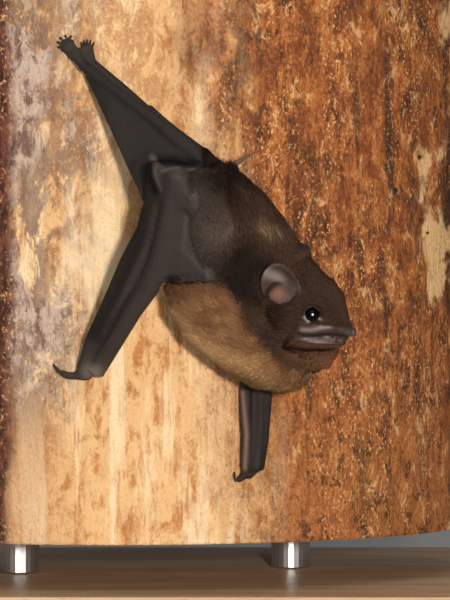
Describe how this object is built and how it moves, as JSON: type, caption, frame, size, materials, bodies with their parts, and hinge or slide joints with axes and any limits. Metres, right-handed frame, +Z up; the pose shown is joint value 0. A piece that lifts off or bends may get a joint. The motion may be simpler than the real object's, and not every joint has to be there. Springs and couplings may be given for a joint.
{
  "type": "clinging bat display model",
  "caption": "A small brown bat rests head down on a short upright length of weathered trunk, wings folded and propped on its wrists, on a plain stand.",
  "frame": {"origin": "centre of the stand base's underside, on the floor", "axes": "+X is to the right of the bat as it is seen from in front of the trunk, the bat clings to the -Y side, +Z is up"},
  "size_m": [0.124, 0.1244, 0.11],
  "materials": {
    "fur_back": "short dark brown fur, paler on the belly",
    "fur_head": "short dark brown fur",
    "skin_face": "bare dark grey skin, slightly damp",
    "skin_ear": "thin bare skin",
    "skin_wing": "bare blackish wing skin",
    "skin_foot": "bare dark skin",
    "eye_gloss": "wet black eye",
    "claw_horn": "dark horn",
    "log_wood": "weathered bare trunk",
    "stand_beech": "oiled pale beech",
    "stand_steel": "brushed steel"
  },
  "bodies": {
    "root": {"trunk": "fur_back", "neck": "fur_head", "head": "fur_head", "lower_jaw": "skin_face", "ear_right": "skin_ear", "ear_left": "skin_ear", "eye_right": "eye_gloss", "eye_left": "eye_gloss", "tail": "skin_foot", "tail_sheet": "skin_wing", "flank_sheet_right": "skin_wing", "arm_sheet_right": "skin_wing", "leg_sheet_right": "skin_wing", "fold_sheet_right": "skin_wing", "leg_sheet_left": "skin_wing", "arm_sheet_left": "skin_wing", "perch_log": "log_wood", "stand_base": "stand_beech", "stand_rod_1": "stand_steel", "stand_rod_2": "stand_steel", "upper_arm_right": "fur_back", "forearm_right": "skin_wing", "hand_right": "skin_wing", "thumb_right": "skin_wing", "thumb_claw_right": "claw_horn", "thigh_right": "fur_back", "shank_right": "skin_wing", "foot_right": "skin_foot", "foot_right_claw_1": "claw_horn", "foot_right_claw_2": "claw_horn", "foot_right_claw_3": "claw_horn", "foot_right_claw_4": "claw_horn", "foot_right_claw_5": "claw_horn", "upper_arm_left": "fur_back", "forearm_left": "skin_wing", "hand_left": "skin_wing", "thumb_left": "skin_wing", "thumb_claw_left": "claw_horn", "thigh_left": "fur_back", "shank_left": "skin_wing", "foot_left": "skin_foot", "foot_left_claw_1": "claw_horn", "foot_left_claw_2": "claw_horn", "foot_left_claw_3": "claw_horn", "foot_left_claw_4": "claw_horn", "foot_left_claw_5": "claw_horn"}
  },
  "joints": []
}
